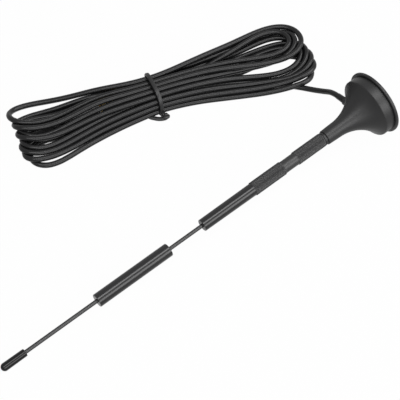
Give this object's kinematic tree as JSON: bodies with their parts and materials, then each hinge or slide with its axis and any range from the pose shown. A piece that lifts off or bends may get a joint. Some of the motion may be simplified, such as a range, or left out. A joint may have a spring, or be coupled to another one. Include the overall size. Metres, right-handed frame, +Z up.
{
  "type": "magnetic mount antenna",
  "caption": "Slim collinear whip antenna on a bell-shaped magnetic foot, with knurled ferrule, phasing tube, tip cap and a thin coaxial lead tied in a hank with a screw-on plug.",
  "frame": {"origin": "on the floor under the middle of the antenna, which lies on its foot's rim and its tip", "axes": "+X along the whip towards the magnetic foot, +Z up, cable outlet and hank on the +Y side"},
  "size_m": [0.2256, 0.1305, 0.0329],
  "materials": {
    "shell_black": "soft satin moulded black",
    "pad_rubber": "matt",
    "steel_plate": "zinc plated",
    "magnet_ferrite": "sintered",
    "white_insulator": "waxy",
    "brass_insert": "turned",
    "copper_wire": "drawn",
    "cable_jacket": "satin extruded",
    "knurl_black": "black plated knurl",
    "tube_black": "satin",
    "rod_black": "black plated",
    "cap_black": "gloss",
    "tie_black": "satin",
    "boot_black": "shrunk sleeve",
    "nickel_plate": "nickel plated",
    "gold_plate": "gold plated"
  },
  "bodies": {
    "base": {"base_shell": "shell_black", "base_pad": "pad_rubber", "magnet_cup": "steel_plate", "ring_magnet": "magnet_ferrite", "socket_insulator": "white_insulator", "whip_socket": "brass_insert", "cable_grommet": "cable_jacket", "cable_tail": "cable_jacket", "core_lead": "copper_wire", "ground_tail": "copper_wire", "cable_lead": "cable_jacket", "cable_hank": "cable_jacket", "hank_tie": "tie_black", "plug_boot": "boot_black", "crimp_sleeve": "nickel_plate", "plug_body": "gold_plate", "plug_dielectric": "white_insulator", "plug_pin": "gold_plate", "snap_ring": "brass_insert", "seal_ring": "pad_rubber"},
    "whip": {"whip_ferrule": "knurl_black", "lower_tube": "tube_black", "tube_plug": "tube_black", "matching_coil": "copper_wire", "lower_rod": "rod_black", "phasing_tube": "tube_black", "phasing_lower_plug": "tube_black", "phasing_upper_plug": "tube_black", "phasing_coil": "copper_wire", "upper_rod": "rod_black", "tip_cap": "cap_black"},
    "nut": {"coupling_nut": "gold_plate"}
  },
  "joints": [
    {"name": "whip_turn", "type": "hinge", "parent": "base", "child": "whip", "pos_m": [0.0767, 0, 0.01434], "axis": [-0.9978, 0, -0.0668], "range_deg": [0, 3600]},
    {"name": "coupling_nut_spin", "type": "hinge", "parent": "base", "child": "nut", "pos_m": [0.00859, 0.08674, 0.00472], "axis": [-0.9627, 0.2706, 0], "continuous": true}
  ]
}
